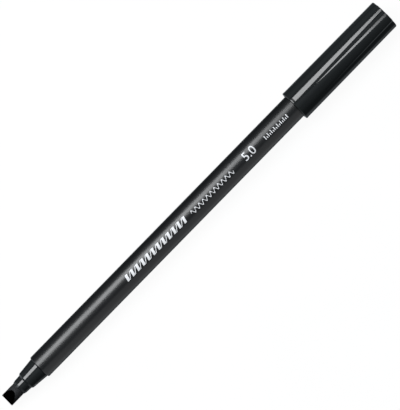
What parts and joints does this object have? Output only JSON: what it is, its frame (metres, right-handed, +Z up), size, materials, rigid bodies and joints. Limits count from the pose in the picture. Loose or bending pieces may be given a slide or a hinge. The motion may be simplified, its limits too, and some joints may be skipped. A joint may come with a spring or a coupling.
{
  "type": "calligraphy marker",
  "caption": "Slim broad-edged calligraphy marker with a straight chisel fibre nib, a stepped conical front section and a fluted cap posted on the rear of the barrel.",
  "frame": {"origin": "under the middle of the bounding box, on the level that the lip of the posted cap rests on", "axes": "+X along the pen from the writing edge to the closed end of the posted cap, +Z up, the writing edge parallel to Y"},
  "size_m": [0.1782, 0.0116, 0.0115],
  "materials": {
    "satin_black_plastic": "moulded, satin",
    "gloss_black_plastic": "moulded, high gloss",
    "cap_black_plastic": "moulded, high gloss, lightly handled",
    "inked_nib_fibre": "bonded fibre soaked with black ink, its ground bevels black and its sides greyer",
    "inked_reservoir_fibre": "bonded fibre soaked with black ink",
    "clear_film": "thin clear film",
    "natural_plastic": "uncoloured, slightly waxy"
  },
  "bodies": {
    "pen": {"barrel": "satin_black_plastic", "front_section": "gloss_black_plastic", "nib": "inked_nib_fibre", "reservoir_core": "inked_reservoir_fibre", "reservoir_sleeve": "clear_film", "rear_plug": "gloss_black_plastic"},
    "cap_carrier": {"cap_inner_seal": "natural_plastic"},
    "cap": {"cap_shell": "cap_black_plastic"}
  },
  "joints": [
    {"name": "cap_pull", "type": "slide", "parent": "pen", "child": "cap_carrier", "axis": [1, 0, 0], "range_m": [0, 0.05]},
    {"name": "cap_twist", "type": "hinge", "parent": "cap_carrier", "child": "cap", "pos_m": [0.0678, 0, 0.00575], "axis": [1, 0, 0], "continuous": true}
  ]
}
